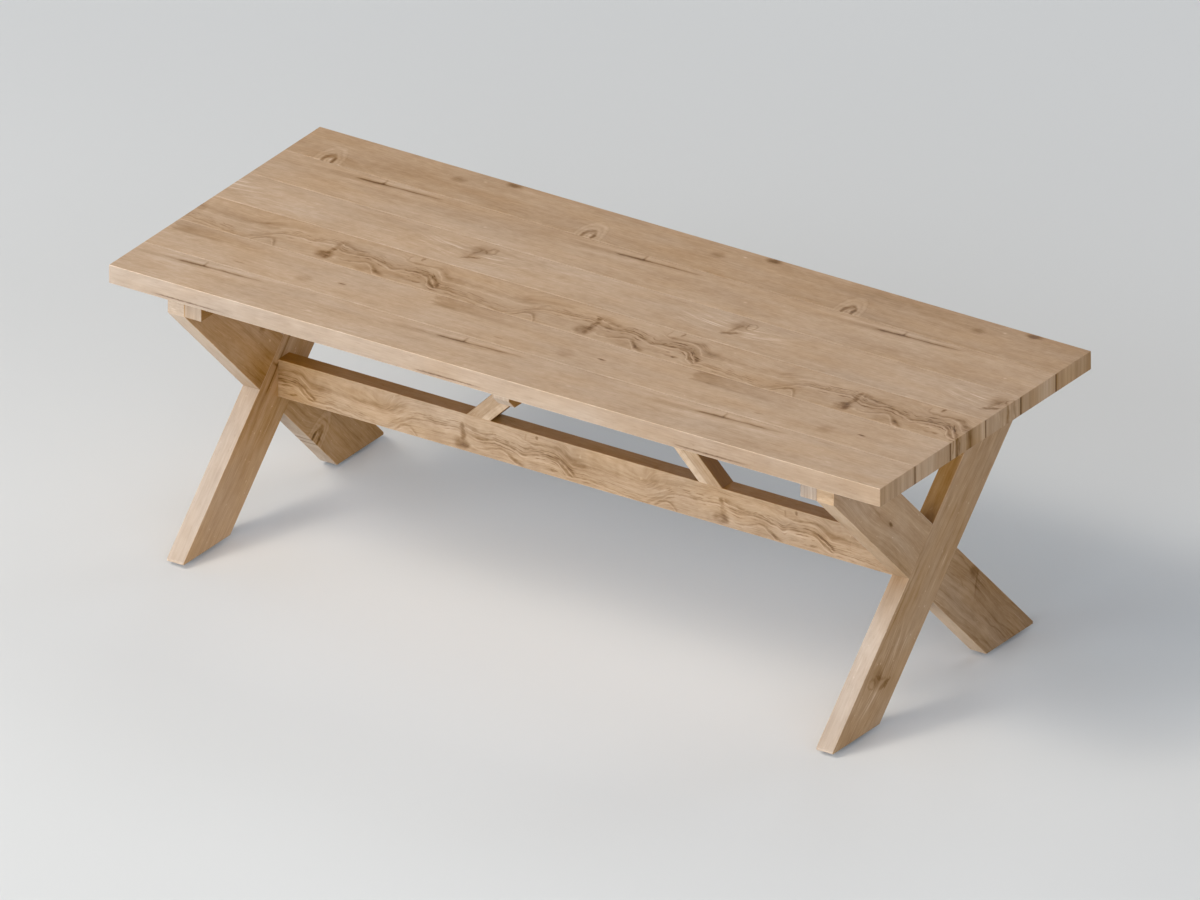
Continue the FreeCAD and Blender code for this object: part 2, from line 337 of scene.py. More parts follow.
def grain_place(board):
    """Along and deep, moved to a place of the board's own in the noise. An end has hardly any depth."""
    along = board.x + board.seed * seed_along
    deep = board.z * board.end.keeping(end_depth) + board.seed * seed_deep
    return along, deep


def grain_of(board, sway):
    """The grain noises of a board by name. Sway is how far its lines wander across it, in metres."""
    along, deep = grain_place(board)
    across = total([board.y] + board.bend) + board.noise(sway_pitch, 1.0) * sway
    return {name: noise(along, across, deep, *pitch) for name, pitch in grain_pitches.items()}

# %% [markdown]
# ### Ends and edges
# An end shows the year rings as upright bands, with small drying checks between them.
# The long edges get a painted highlight, a little paler, in beads and not in one even line.
# Where two planks meet, painted shade darkens the seam on top and the corners of the ends.
# A Bevel node could find the edges, but it is slow. On a straight board, the distance from the edge
# does the same.

# %% Ends and edges
end_bands = ((1.0, 42.0, 1.0), 3.0, 0.65)
end_checks = ((1.0, 170.0, 1.0), 1.0)
check_rim = (0.36, 0.20)
band_gain = 0.78
check_gain = 0.34
end_darker = 0.01
edge_beads = (70.0, 30.0, 30.0)
edge_highlight_width = 0.0025
seam_shade_width = 0.0018
end_seam_shade_width = 0.0045
corner_ease = 0.001
seam_dark = 0.20
back_corner_dark = 0.5
front_corner_dark = 0.4


def end_grain(board, figure):
    """Upright bands and checks on the ends of a board. Figure is how strongly they show."""
    along, deep = grain_place(board)
    bands = noise(along, board.y, deep, *end_bands)
    checks = noise(along, board.y, deep, *end_checks).fade(*check_rim)
    return board.end * ((bands * band_gain - checks * check_gain) * figure - end_darker)


def edge_highlight_and_seam_shade(board, meets_front, meets_back):
    """Painted highlights on the edges, and painted shade where the board meets a plank in front of it or
    behind it.
    """
    side, face = board.half_width, board.half_thick
    beads = board.worn(edge_beads, 2.9, swing=1.6, level=0.75)
    # Painted highlight: the long edges a little paler, in beads.
    edge_highlight = board.y.size().fade(side, side - edge_highlight_width) * board.z.size().fade(face, face - edge_highlight_width) * beads
    # Painted shade in the seams between planks and at the corners of the ends.
    seam_shade = board.end * 0.0
    if meets_back:
        back_seam_shade = board.y.fade(side, side - seam_shade_width)
        seam_shade = seam_shade + back_seam_shade * beads * seam_dark
        seam_shade = seam_shade + board.y.fade(side - corner_ease, side - end_seam_shade_width) * board.end * back_corner_dark
        edge_highlight = edge_highlight * back_seam_shade.keeping(0.0)
    if meets_front:
        seam_shade = seam_shade + (-board.y).fade(side - corner_ease, side - end_seam_shade_width) * board.end * front_corner_dark
    return edge_highlight, seam_shade

# %% [markdown]
# ### Colour and sheen
# The tone of the wood is one number, and a colour ramp turns it into brown, dark at 0 and pale at 1.
# The grain, the marks, the ends, the painted edge highlights and the painted seam shade are all added to that
# number, so they blend as stains do. Mixing colours for each of them would turn grey where they overlap.
# Some faces are deeper or greyer than others, as painted shade and painted sheen on the narrow faces and
# ends, so the strength of the colour is a second sum. The fine lines and the marks also dent the surface
# slightly, so that the light catches the grain.

# %% Finish of a board
wood_tones = (
    (0.00, (0.094, 0.036, 0.010)),
    (0.25, (0.227, 0.126, 0.058)),
    (0.50, (0.402, 0.264, 0.159)),
    (0.75, (0.560, 0.402, 0.277)),
    (1.00, (0.734, 0.580, 0.451)),
)
grain_shares = {"broad": 0.22, "cloud": 0.24, "mottle": 0.15, "streak": 0.13, "fine": 0.29, "speck": 0.20}
pore_rim = (0.26, 0.16)
dash_rim = (0.30, 0.15)
fleck_rim = (0.30, 0.22)
edge_highlight_gain = 0.22
dash_gain = 0.07
fleck_gain = 0.09
pore_gain = 0.05
colour_clouds = (4.0, 14.0, 12.0)
colour_swing = 0.3
end_shade_colour = 0.08
wood_roughness = 0.56
wood_shine = 0.3
grain_depth = 0.0008
grain_bump = 0.3


def wood_figure(board, grain, streaky):
    """The grain as one sum. Streaky wood has more long lines and fewer specks."""
    shares = dict(grain_shares)
    shares["streak"] *= streaky
    shares["speck"] /= streaky
    lines = dict(grain, speck=grain["speck"] * board.narrow.keeping(0.4))
    return total([lines[name] * share for name, share in shares.items()]) * board.narrow.keeping(0.65)


def finish_board(board, tone, colour, edge_shade_tone, edge_sheen_grey, streaky=1.0, flecks=1.0,
                 sway=0.014, drift=0.0, end_figure=1.0, meets_front=False, meets_back=False):
    """Joins grain, marks, painted edge highlights and painted seam shade, links them to the shader and gives
    the material to the board.
    """
    tree = board.tree
    nothing = board.end * 0.0
    grain = grain_of(board, sway)
    pore = grain["pore"].fade(*pore_rim)
    dash = grain["dash"].fade(*dash_rim)
    fleck = grain["fleck"].fade(*fleck_rim)
    flecked = (dash * dash_gain + fleck * fleck_gain) * board.narrow.keeping(0.25) * flecks
    edge_highlight, seam_shade = edge_highlight_and_seam_shade(board, meets_front, meets_back)
    dark = total([seam_shade] + board.dark)
    marks = total([nothing] + board.pale) - dark
    # The narrow faces take a tone of painted shade here, and the edges a painted highlight.
    level = (wood_figure(board, grain, streaky) + board.x * drift + tone + marks
             + end_grain(board, end_figure) + board.narrow * edge_shade_tone
             + edge_highlight * edge_highlight_gain + flecked - pore * pore_gain)
    brown = colour_ramp(tree, level, wood_tones)
    # Painted sheen greys the narrow faces, or painted shade deepens their colour below zero; painted shade
    # deepens the colour of the ends.
    strength = (board.noise(colour_clouds, 2.0, 6.6) * colour_swing - board.narrow * edge_sheen_grey
                + board.end * end_shade_colour + total([nothing] + board.tint) + colour)
    tinted = put(tree, "ShaderNodeHueSaturation", {"Color": brown.outputs[0], "Saturation": strength})
    roughness = grain["streak"] * -0.2 + board.end * 0.1 + pore * 0.15 + wood_roughness
    height = grain["fine"] * 0.5 + grain["streak"] * 0.3 - pore * 0.5 - dark * 1.2
    bump = put(tree, "ShaderNodeBump", {"Height": height, "Strength": grain_bump, "Distance": grain_depth})
    shader = tree.nodes["Principled BSDF"]
    feed(tree, shader.inputs["Base Color"], tinted.outputs[0])
    feed(tree, shader.inputs["Roughness"], roughness)
    feed(tree, shader.inputs["Normal"], bump.outputs[0])
    shader.inputs["Specular IOR Level"].default_value = wood_shine
    dress(board.name, board.material)


def dress(name, material):
    """Gives a node of the table its material in place of the plain one."""
    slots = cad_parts[name].data.materials
    slots.clear()
    slots.append(material)

# %% [markdown]
# ## Marks in the wood
# Knots, splits and burl lines are what makes these boards easy to know again.
# They could be painted, but a painted mark would end at the edge of its face.
# Each mark is a small formula in the board's own directions, measured in metres from a chosen spot.
# The same marks come round again along a long board, as they do in boards sawn from one log.

# %% Where a mark sits
figure_length = 0.741
steady = 0.002


def spot(board, along, across, repeats=False, wander=0.004, flip=1.0):
    """Distances from a mark's centre, along and across the board, with slightly unsteady lines."""
    dx = board.x - along
    if repeats:
        dx = dx.calc("WRAP", figure_length / 2, -figure_length / 2)
    dx = dx * flip + board.noise((14.0, 30.0, 14.0), 1.0, 1.7) * wander * 2.0
    dy = board.y - across + board.noise((16.0, 30.0, 14.0), 1.0, 5.3) * wander * 2.0
    return dx, dy


def rings(dx, dy, half_width, height):
    """Distance from a centre in ring steps: 1 on an oval of that half width and height."""
    across = dx / half_width
    up = dy / height
    return (across * across + up * up).calc("SQRT")


def patch(dx, dy, at, size, inside, outside):
    """An oval patch: full up to the inside ring step and gone at the outside one."""
    return rings(dx - at[0], dy - at[1], *size).fade(inside, outside)


def profile(amount, steps, joined="EASE"):
    """Looks an amount up in a table of (amount, value) steps, smooth between them."""
    first, last = steps[0][0], steps[-1][0]
    tones = [((at - first) / (last - first), (value, value, value)) for at, value in steps]
    node = colour_ramp(amount.tree, (amount - first) / (last - first), tones)
    node.color_ramp.interpolation = joined
    return Amount(amount.tree, node.outputs[0])

# %% [markdown]
# ### Curl knot
# A side branch cut through near the edge of a board shows as an eye: a thin dark ring with a pale inside,
# and pale and dark arches around it. The edge of the board hides its lower end.
# Two tables over the ring steps, one dark and one pale, draw all of its arches at once.

# %% Curl knot
curl_size = (0.0165, 0.036)
curl_dark = (
    (0.0, 0.10), (0.30, 0.04), (0.55, 0.06), (0.75, 0.20), (0.92, 0.26), (1.06, 0.16), (1.22, 0.0),
    (1.55, 0.0), (1.72, 0.05), (1.90, 0.0), (2.25, 0.0), (2.42, 0.06), (2.60, 0.0), (2.9, 0.0),
)
curl_pale = (
    (0.0, 0.0), (0.20, 0.06), (0.42, 0.12), (0.60, 0.0), (1.15, 0.0), (1.35, 0.09), (1.60, 0.05),
    (2.0, 0.10), (2.35, 0.02), (2.8, 0.0),
)


def curl_knot(board, along, across, repeats=False):
    """An arch of nested rings that stands on the edge, with a dark foot on its right side."""
    dx, dy = spot(board, along, across, repeats, 0.003)
    ring = rings(dx + dy * 0.10, dy, *curl_size) + board.noise((50.0, 60.0, 40.0), 2.0) * 0.55
    worn = board.worn((70.0, 70.0, 40.0), 1.3, swing=1.8, level=0.9)
    right_foot = patch(dx, dy, (0.012, 0.006), (0.006, 0.015), 0.3, 1.2)
    left_foot = patch(dx, dy, (-0.013, 0.010), (0.006, 0.018), 0.3, 1.3)
    pale_heart = patch(dx - dy * 0.15, dy, (0.001, 0.014), (0.003, 0.016), 0.4, 1.2)
    board.dark.extend((profile(ring, curl_dark) * worn, right_foot * 0.20, left_foot * 0.10))
    board.pale.extend((profile(ring, curl_pale), pale_heart * 0.16))
    board.bend.append(dx.hump(0.05) * dy.hump(0.06) * -0.02)

# %% [markdown]
# ### Split with a tick
# A drying crack is a thin dark line that tapers to both ends. Here each has one short tick across it,
# a faint brown line that leads up to it, and paler wood on both sides.
# The crack is too fine to cut into the mesh, so it is a dark line that the bump dents.

# %% Split
split_body = (
    (-0.085, 0.0), (-0.055, 0.75), (-0.01, 1.0), (0.03, 0.62), (0.09, 0.72), (0.14, 0.45), (0.185, 0.0),
)
split_lead = ((-0.24, 0.0), (-0.12, 0.10), (-0.06, 0.10), (-0.03, 0.0))
split_tick = ((-0.002, 0.0), (0.004, 0.34), (0.018, 0.22), (0.030, 0.0))
split_glow = ((-0.30, 0.0), (-0.12, 0.08), (0.10, 0.06), (0.2, 0.0))
split_slant = 0.045
split_hair = 0.0012


def split(board, along, across, repeats=True, strength=0.45, thick=0.0032):
    """A tapering crack of about a quarter metre, with a tick near its thick end."""
    dx, dy = spot(board, along, across, repeats, steady)
    line = dy - dx * split_slant + board.noise((120.0, 20.0, 20.0), 2.0, 2.2) * 0.002
    body = profile(dx, split_body)
    crack = (line / (body * thick + split_hair)).hump(1.0) * body * strength
    shade = (line + 0.002).hump(0.007) * body * 0.12
    lead = line.hump(0.008) * profile(dx, split_lead)
    tick = (dx + dy * 0.08).hump(0.0035) * profile(dy, split_tick)
    glow = ((line + 0.022).hump(0.010) + (line - 0.014).hump(0.006)) * profile(dx, split_glow)
    board.dark.extend((crack, shade, lead, tick))
    board.pale.append(glow)

# %% [markdown]
# ### Flower knot
# A broken knot has no clean ring: it is a brown patch with a loop beside its head, a dark slanted foot
# and pale rays that run off along the grain. Noise in the distances gives every part a ragged rim.

# %% Flower knot
flower_rays = ((0.0, 0.0), (0.022, 0.3), (0.045, 1.0), (0.11, 0.5), (0.19, 0.0))
flower_ragged = 0.018


def flower_knot(board, along, across, repeats=False, flip=1.0, strength=0.36):
    """A ragged brown patch with a loop, a dark slanted foot and pale rays. Flip -1 mirrors it."""
    dx, dy = spot(board, along, across, repeats, steady, flip)
    x = dx + board.noise((55.0, 60.0, 40.0), 2.0, 2.1) * flower_ragged
    y = dy + board.noise((60.0, 55.0, 40.0), 2.0, 7.9) * flower_ragged
    body = patch(x, y, (0.004, 0.018), (0.026, 0.027), 0.3, 1.3)
    foot = patch(x, y - x * 0.55, (0.004, -0.028), (0.025, 0.0085), 0.45, 1.2)
    stem = patch(x - y * 0.30, y, (0.0, 0.0), (0.006, 0.030), 0.4, 1.3)
    loop = (rings(x - 0.030, y - 0.027, 0.012, 0.015) - 1.0).hump(0.24)
    around = dx.hump(0.034) * dy.hump(0.048)
    board.dark.extend((body * (strength * 0.55), foot * (strength * 0.85), stem * (strength * 0.4),
                       loop * (strength * 0.55), around * 0.05))
    curved = board.y + dx * dx * -1.2
    streaks = noise(board.x, curved, board.z, (7.0, 150.0, 30.0), 2.0).fade(0.14, 0.0)
    rays = profile(dx.size(), flower_rays) * dy.hump(0.038)
    board.pale.append(rays * streaks * 0.28)
    board.bend.append(dx.hump(0.06) * dy.hump(0.05) * dy * -0.5)

# %% [markdown]
# ### Burl figure
# The busiest boards carry a burl: a dark column of a branch, and soft wavy lines that arch on its left,
# run off to its right and dive in a hook. Noise alone never makes such lines, so they are drawn as strokes.
# Each is a short table of points: how far along, how high, how thick (all in millimetres)
# and how dark (in hundredths). Patches fill the column and the hollows: how far along, how high,
# half width, half height (in millimetres) and how dark, or pale where the number is negative.

# %% Burl strokes
main_line = (
    (-370, -49, 3, 16), (-302, -58, 3, 14), (-250, -67, 3, 12), (-225, -70, 4, 10), (-211, -66, 5, 10),
    (-181, -39, 5, 12), (-162, -20, 5, 12), (-142, -5, 3, 16), (-98, 1, 3, 18), (-69, 3, 3, 22),
    (-40, 7, 3, 20), (-13, 12, 3, 20), (4, 6, 4, 6), (20, -2, 3, 16), (42, -7, 4, 20), (67, -5, 4, 14),
    (87, 1, 3, 22), (102, 3, 3, 24), (122, 0, 3, 26), (140, -6, 4, 26), (160, -12, 4, 14),
    (177, -20, 4, 22), (197, -11, 4, 18), (222, -7, 4, 28), (252, -4, 3, 24), (275, -10, 5, 24),
    (290, -30, 6, 24), (300, -41, 6, 24), (312, -50, 4, 26), (327, -50, 3, 20), (352, -48, 3, 18),
    (370, -49, 3, 16),
)
hook_line = (
    (236, 2, 2, 0), (255, 3, 3, 16), (275, 1, 4, 18), (286, -5, 6, 24), (300, -18, 6, 26),
    (317, -36, 6, 26), (330, -46, 4, 0),
)
low_line = (
    (28, -43, 3, 0), (40, -46, 4, 16), (57, -47, 3, 18), (77, -40, 4, 14), (102, -28, 4, 16),
    (117, -25, 4, 16), (125, -29, 5, 18), (134, -37, 6, 22), (150, -52, 7, 28), (165, -62, 6, 26),
    (185, -66, 5, 0),
)
head_line = ((4, 33, 5, 0), (14, 30, 6, 24), (30, 26, 6, 20), (47, 20, 5, 18), (70, 16, 5, 8), (100, 9, 5, 0))
high_line = (
    (-370, 11, 9, 10), (-288, 6, 9, 12), (-234, 9, 9, 10), (-190, 12, 12, 12), (-150, 18, 10, 0),
    (150, 48, 4, 0), (187, 37, 3, 12), (215, 34, 4, 18), (252, 40, 4, 16), (277, 41, 7, 18),
    (295, 31, 10, 18), (312, 14, 11, 18), (330, 9, 10, 16), (370, 11, 9, 10),
)
left_arch = (
    (-196, -74, 4, 0), (-188, -66, 5, 14), (-175, -50, 5, 18), (-155, -40, 4, 20), (-140, -47, 5, 18),
    (-128, -66, 6, 14), (-122, -74, 5, 0),
)
top_line = ((-230, 18, 6, 0), (-200, 24, 6, 8), (-140, 36, 6, 8), (-90, 44, 6, 6), (-60, 47, 5, 0))
burl_strokes = (main_line, hook_line, low_line, head_line, high_line, left_arch, top_line)
burl_patches = (
    (-1, -45, 25, 24, 34), (11, -53, 11, 12, 16), (1, 24, 8, 16, 32), (5, -10, 9, 24, 28),
    (44, -46, 24, 8, -13), (212, -28, 40, 5, -12), (-60, -12, 50, 8, -7), (263, -50, 12, 6, 26),
    (248, -53, 20, 5, 12), (233, -35, 7, 3, 16), (260, -27, 7, 3, 18), (214, 61, 5, 10, 34),
    (183, 52, 3, 15, 14), (112, -56, 27, 19, 10), (205, -47, 42, 13, 9), (150, -56, 14, 8, 12),
    (335, 2, 60, 26, 7), (75, 4, 80, 32, 7), (215, 6, 80, 34, 7),
)
print("burl:", len(burl_strokes), "strokes and", len(burl_patches), "patches")

# %% [markdown]
# A colour ramp holds numbers from 0 to 1 only, so heights and thicknesses go into it scaled down
# and come out scaled up again. A pale line runs under each dark one, thin broken lines follow the main one,
# and the grain is bent by the same table, so that it goes with the lines.

# %% Burl
mm = 0.001
percent = 0.01
ramp_span = 0.2
ramp_middle = 0.5
burl_ragged = 0.012
burl_gaps = (-0.014, 0.008, 0.015, 0.023)


def burl_stroke(board, dx, dy, points, worn, strength):
    """One soft dark line, with a shade and a pale line under it. Gives back its height, the distance
    above it and its darkness."""
    heights = [(at * mm, up * mm / ramp_span + ramp_middle) for at, up, thick, dark in points]
    height = profile(dx, heights, "CARDINAL")
    thickness = profile(dx, [(at * mm, thick * percent) for at, up, thick, dark in points])
    darkness = profile(dx, [(at * mm, dark * percent) for at, up, thick, dark in points]) * strength
    above = dy - (height - ramp_middle) * ramp_span
    board.dark.append((above / (thickness * 0.10)).hump(1.0) * darkness * worn * 0.84)
    board.dark.append(((above + 0.003) / (thickness * 0.30)).hump(1.0) * darkness * 0.42)
    board.pale.append((above + thickness * 0.20).hump(0.0034) * darkness * 0.75)
    return height, above, darkness


def burl(board, along, squeeze=1.0, strength=1.0):
    """A branch column with wavy lines. Squeeze fits the figure to a narrower board."""
    dx, dy = spot(board, along, 0.0, True, steady)
    dy = dy * squeeze
    ragged = board.noise((55.0, 60.0, 30.0), 2.0, 6.1) * burl_ragged
    worn = board.worn((45.0, 70.0, 30.0), 8.8, swing=2.2, level=0.95)
    for points in burl_strokes:
        height, above, darkness = burl_stroke(board, dx, dy + ragged, points, worn, strength)
        if points is main_line:
            board.bend.append((height - ramp_middle) * dy.hump(0.06) * -0.12)
            for gap in burl_gaps:
                broken = board.noise((30.0, 50.0, 30.0), 2.0, 40.0 * gap).fade(0.12, -0.06)
                board.dark.append((above - gap).hump(0.0021) * broken * darkness * 1.4)
    for at, up, half_width, half_height, dark in burl_patches:
        size = (half_width * mm, half_height * mm)
        blot = patch(dx + ragged, dy + ragged, (at * mm, up * mm), size, 0.35, 1.25)
        board.dark.append(blot * worn * (dark * percent * strength))

# %% [markdown]
# ### Smudges and stains
# Smaller marks are soft ovals: stains near an edge, short dark dashes and round pin knots.
# A long stain is a band along the grain that starts at a front and fades away from it.
# On a leg it has a sharp slanted front, deep on one side and faint on the other.
# On a plank the front is blunt, and the band follows the seam.

# %% Smudges and stains
stain_lean = 0.6
stain_reach = ((-0.26, 0.0), (-0.10, 0.7), (-0.012, 1.0), (0.006, 0.45), (0.10, 0.40), (0.36, 0.0))
tail_lean = 0.23
tail_ragged = 0.05
tail_reach = (
    (-0.014, 0.0), (0.004, 0.85), (0.035, 1.0), (0.08, 0.72), (0.16, 0.50), (0.24, 0.28), (0.36, 0.0),
)


def smudge(board, along, across, half_width, height, dark, repeats=False, ragged=0.012):
    """A soft oval stain with a ragged edge. A negative value makes it pale."""
    dx, dy = spot(board, along, across, repeats, steady)
    dx = dx + board.noise((60.0, 70.0, 40.0), 2.0, 4.1) * ragged
    dy = dy + board.noise((60.0, 70.0, 40.0), 2.0, 9.7) * ragged
    oval = rings(dx, dy, half_width, height).fade(0.2, 1.3)
    if dark < 0:
        board.pale.append(oval * -dark)
    else:
        board.dark.append(oval * dark)


def stain_run(board, along, across, height, dark):
    """A long stain with a sharp slanted front."""
    dx, dy = spot(board, along, across)
    from_front = dx - dy * stain_lean
    band = dy.hump(height)
    board.dark.append(profile(from_front, stain_reach) * band * dark)
    board.dark.append(from_front.hump(0.004) * band * (dark * 0.8))


def stain_tail(board, along, across, height, dark):
    """A stain that starts at a blunt front, follows the seam behind it and fades away to the right."""
    dx, dy = spot(board, along, across, True)
    ragged = board.noise((40.0, 75.0, 40.0), 2.0, 3.3) * tail_ragged
    reach = profile(dx + dy * tail_lean + ragged, tail_reach)
    board.dark.append(reach * dy.fade(height * -0.6, height * -1.15) * dark)
    board.dark.append(reach * (dy + height * 0.8).hump(0.005) * (dark * 0.35))

# %% [markdown]
# ### Marks on edges and ends
# The front edge of the top has a thin broken crack, a shake, that runs along it.
# The ends of the planks show the year rings as upright stripes, and no two ends are alike.
# Each is drawn from a table of (millimetres across, hundredths of dark) steps.

# %% Edge shake and end stripes
shake_reach = ((-0.11, 0.0), (-0.05, 1.0), (0.05, 0.9), (0.09, 0.4), (0.135, 0.0))
shake_thick = 0.0019


def edge_shake(board, along, above, dark):
    """A thin dark line on a narrow face, at a height from the middle of the board."""
    dx = spot(board, along, 0.0, True, steady)[0]
    line = board.z - above - dx * 0.004 + board.noise((90.0, 10.0, 10.0), 2.0, 3.9) * 0.002
    broken = board.worn((80.0, 10.0, 10.0), 7.3, swing=1.8, level=0.9)
    board.dark.append(line.hump(shake_thick) * profile(dx, shake_reach) * broken * board.narrow * dark)


def end_stripes(board, steps):
    """Stripes of the year rings on a plank's end. A negative step is pale."""
    shades = [(across * mm, dark * percent + ramp_middle) for across, dark in steps]
    board.dark.append((profile(board.y, shades) - ramp_middle) * board.end)

# %% [markdown]
# ## The six planks
# The top is six planks side by side, with thin open seams. Plank 1 is at the front.
# All lie flat, so along is X and across is Y. Each has its own seed, which moves it to other grain,
# and its own marks, placed in metres from its middle: how far along, then how far across.
# A smudge goes on with its half width, its height and how dark it is, or pale below zero.

# %% Planks and their marks
flat = Matrix.Identity(3)
half_thick = 0.024
plank_half_width = 0.075
pin_ragged = 0.004


def board_of(name, turn, half_width, seed):
    """A board at its node's own middle."""
    low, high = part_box(name)
    return Board(name, (low + high) / 2, turn, half_width, half_thick, seed)


planks = [board_of(f"top_plank_{number}", flat, plank_half_width, number) for number in range(1, 7)]

split(planks[0], -0.909, 0.043)
smudge(planks[0], -0.567, -0.020, 0.010, 0.004, -0.12, True, pin_ragged)
edge_shake(planks[0], -0.880, -0.0155, 0.34)

stain_tail(planks[1], -1.087, 0.048, 0.028, 0.22)
smudge(planks[1], -0.672, -0.028, 0.026, 0.026, 0.14, True)
smudge(planks[1], -0.582, -0.006, 0.013, 0.004, 0.48, True, pin_ragged)
smudge(planks[1], -0.852, -0.043, 0.016, 0.003, 0.20, True, 0.006)

burl(planks[2], -0.707, strength=1.08)

flower_knot(planks[3], -0.411, 0.008, True)

split(planks[4], -0.800, 0.047)
smudge(planks[4], -0.470, -0.012, 0.006, 0.004, -0.18, True, pin_ragged)

curl_knot(planks[5], -0.983, -0.070, True)
smudge(planks[5], -0.537, 0.063, 0.024, 0.014, 0.40, True)
smudge(planks[5], -0.665, 0.018, 0.022, 0.015, 0.22, True)
smudge(planks[5], -0.605, 0.042, 0.006, 0.004, -0.24, True, pin_ragged)
print("dark marks on each plank:", [len(plank.dark) for plank in planks])

# %% [markdown]
# The planks differ a little in tone and in the strength of their colour, as boards from one pile do.
# Their narrow faces are darker and greyer than the top, as painted shade and painted sheen,
# and the figure of their ends is fainter.

# %% Finish of the planks
plank_ends = (
    ((-75, 14), (-20, 13), (14, 9), (19, -6), (32, -2), (45, 3), (58, -8), (64, 0), (70, 18), (75, 22)),
    ((-75, -4), (-65, -8), (-30, -4), (-20, 3), (-10, -2), (10, 9), (20, 5), (40, 8), (55, 11), (75, 22)),
    ((-75, 4), (-62, -2), (-50, 14), (-38, 2), (-15, -2), (0, 4), (15, 11), (28, 2), (38, -6), (50, 3),
     (60, -9)),
    ((-75, -7), (-55, 3), (-35, -4), (0, -4), (20, 1), (30, -6), (40, 7), (50, 0), (62, -3), (75, 16)),
    ((-75, 14), (-60, 3), (0, 3), (18, 1), (28, -8), (50, -7), (65, 0), (75, 4)),
    ((-75, 10), (-55, -3), (-30, -9), (30, -6), (60, -3), (75, 8)),
)
plank_tones = (0.713, 0.708, 0.675, 0.71, 0.67, 0.605)
plank_colours = (1.08, 1.10, 1.15, 1.10, 1.13, 1.16)
front_edge_light_falloff = 0.08

# Painted light along plank 1's front edge: its colour greys towards the left end and deepens towards the
# right.
planks[0].tint.append(planks[0].narrow * planks[0].x * front_edge_light_falloff)
for number, plank in enumerate(planks):
    end_stripes(plank, plank_ends[number])
    finish_board(plank, plank_tones[number], plank_colours[number], edge_shade_tone=-0.30, edge_sheen_grey=0.25,
                 drift=-0.035, end_figure=0.4, meets_front=number > 0, meets_back=number < len(planks) - 1)
print("planks finished:", len(planks))

# %% [markdown]
# ## Legs
# Each trestle is two legs, half-lapped where they cross. The legs lean at 45 degrees, so their grain has
# to lean too. A turned set of directions does that: along runs up the leg, across is the width of its face
# and deep is its thickness. Marks are measured from the crossing, which is easy to find on the real table.

# %% Legs and their marks
lean = math.radians(45.02)
rise = math.sin(lean)
run = math.cos(lean)
up_back = Matrix(((0, run, rise), (0, -rise, run), (1, 0, 0))).transposed()
up_front = Matrix(((0, -run, rise), (0, rise, run), (-1, 0, 0))).transposed()
crossing_height = 0.342
leg_half_width = 0.073


def leg_of(name, turn, seed):
    """A leg, measured from where the two legs of its trestle cross."""
    low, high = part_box(name)
    centre = Vector(((low.x + high.x) / 2, 0.0, crossing_height))
    return Board(name, centre, turn, leg_half_width, half_thick, seed)


right_front = leg_of("leg_right_front", up_back, 11)
right_back = leg_of("leg_right_back", up_front, 12)
left_front = leg_of("leg_left_front", up_back, 13)
left_back = leg_of("leg_left_back", up_front, 14)

flower_knot(right_front, -0.308, 0.007, flip=-1.0, strength=0.28)
smudge(right_back, 0.251, -0.004, 0.013, 0.005, 0.42, ragged=0.003)
stain_run(right_back, -0.218, 0.045, 0.030, 0.20)
smudge(right_back, -0.190, 0.060, 0.026, 0.016, 0.26)
split(left_front, 0.005, 0.043, False, 0.30, 0.0016)
curl_knot(left_back, -0.257, -0.068)
smudge(left_back, 0.176, 0.045, 0.016, 0.012, 0.26)
smudge(left_back, 0.122, 0.037, 0.006, 0.004, -0.24, ragged=pin_ragged)
smudge(right_front, -0.13, 0.058, 0.15, 0.004, 0.16, ragged=0.006)
print("legs measured from crossings", crossing_height, "m above the floor")

# %% [markdown]
# Three of the legs also show growth lines: dark waves where the year rings come out of the face
# at a low angle. They are evenly spaced lines across the board, made to wave by two noises.

# %% Growth lines
def growth_lines(board, pitch, dark):
    """Dark wavy lines along a board, a pitch apart in metres. They come and go."""
    waved = board.y + board.noise((7.0, 11.0, 8.0), 2.0, 4.7) * 0.05
    waved = waved + board.noise((22.0, 30.0, 20.0), 1.0, 1.1) * 0.012
    line = ((waved / pitch).calc("FRACT") - 0.5).size().fade(0.03, 0.20)
    board.dark.append(line * board.noise((6.0, 24.0, 20.0), 2.0, 2.6).fade(0.2, -0.04) * dark)


growth_lines(right_back, 0.023, 0.12)
growth_lines(left_back, 0.024, 0.10)
growth_lines(right_front, 0.026, 0.08)

# %% [markdown]
# ### Painted shade and light on the legs
# The narrow faces of the front legs get painted shade up under the top: darker and deeper in colour there.
# The left back leg gets painted shade by the crossing, and the wide faces of the left front leg above it.
# The narrow faces of the right back leg get painted light below the crossing, a little paler. The plumb cut
# at the head of a leg is slanted end grain, with a tone of its own. Each of these could be a second material,
# but it would stop at a hard line. One soft mask each, with so much dark and so much colour, runs out as the
# real shade does.

# %% Painted shade and light on the legs
under_top_shade_low = -0.24
under_top_shade_high = 0.075


def deepen(board, where, dark, colour):
    """Makes an area of a board darker, and its colour stronger or, below zero, greyer."""
    board.dark.append(where * dark)
    board.tint.append(where * colour)


def under_top_shade(leg):
    """The narrow faces of a leg, from a little below the crossing up to the top, where painted shade goes."""
    return leg.x.fade(under_top_shade_high, under_top_shade_low) * leg.narrow


# Painted shade on the narrow faces of the front legs under the top.
deepen(right_front, under_top_shade(right_front), 0.125, 0.55)
deepen(left_front, under_top_shade(left_front), 0.08, 0.3)
deepen(right_back, right_back.cut, 0.11, -0.06)
deepen(left_back, left_back.cut, 0.06, -0.34)
deepen(right_front, right_front.end, 0.0, -0.45)
deepen(left_front, left_front.end, 0.0, -0.45)
